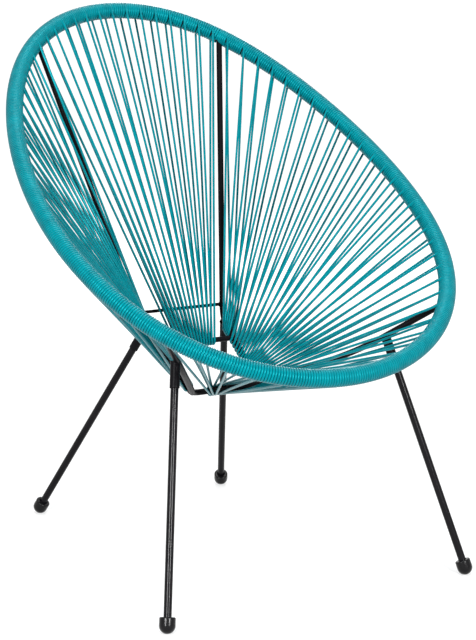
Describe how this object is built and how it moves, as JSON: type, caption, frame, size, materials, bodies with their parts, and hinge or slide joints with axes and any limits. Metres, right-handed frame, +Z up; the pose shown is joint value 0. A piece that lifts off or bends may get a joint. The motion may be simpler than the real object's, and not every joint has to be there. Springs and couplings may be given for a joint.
{
  "type": "acapulco chair",
  "caption": "Low lounge chair with an egg-shaped rim wound in cord, a bucket seat of cords laced to a small hub of bars, bent steel ribs and splayed screw-in legs.",
  "frame": {"origin": "on the floor under the middle of the chair's bounding box", "axes": "+Z up, the chair faces -Y, +X is to the right as seen from in front"},
  "size_m": [0.6736, 0.7693, 0.8695],
  "materials": {
    "frame_steel": "satin black powder coat",
    "leg_steel": "satin black powder coat",
    "screw_steel": "zinc plated",
    "foot_plastic": "moulded, fine matt grain",
    "cord": "glossy extruded soft cord, teal"
  },
  "bodies": {
    "root": {"rim_tube": "frame_steel", "front_hoop": "frame_steel", "back_rib_right": "frame_steel", "back_rib_left": "frame_steel", "hub_rear_bar": "frame_steel", "back_brace_rod": "frame_steel", "cord_right": "cord", "cord_top": "cord", "cord_left": "cord", "cord_front": "cord", "leg_sleeve_front_right": "frame_steel", "leg_front_right": "leg_steel", "leg_insert_front_right": "screw_steel", "leg_stud_front_right": "screw_steel", "foot_cap_front_right": "foot_plastic", "leg_sleeve_front_left": "frame_steel", "leg_front_left": "leg_steel", "leg_insert_front_left": "screw_steel", "leg_stud_front_left": "screw_steel", "foot_cap_front_left": "foot_plastic", "leg_sleeve_back_right": "frame_steel", "leg_back_right": "leg_steel", "leg_insert_back_right": "screw_steel", "leg_stud_back_right": "screw_steel", "foot_cap_back_right": "foot_plastic", "leg_sleeve_back_left": "frame_steel", "leg_back_left": "leg_steel", "leg_insert_back_left": "screw_steel", "leg_stud_back_left": "screw_steel", "foot_cap_back_left": "foot_plastic"}
  },
  "joints": []
}
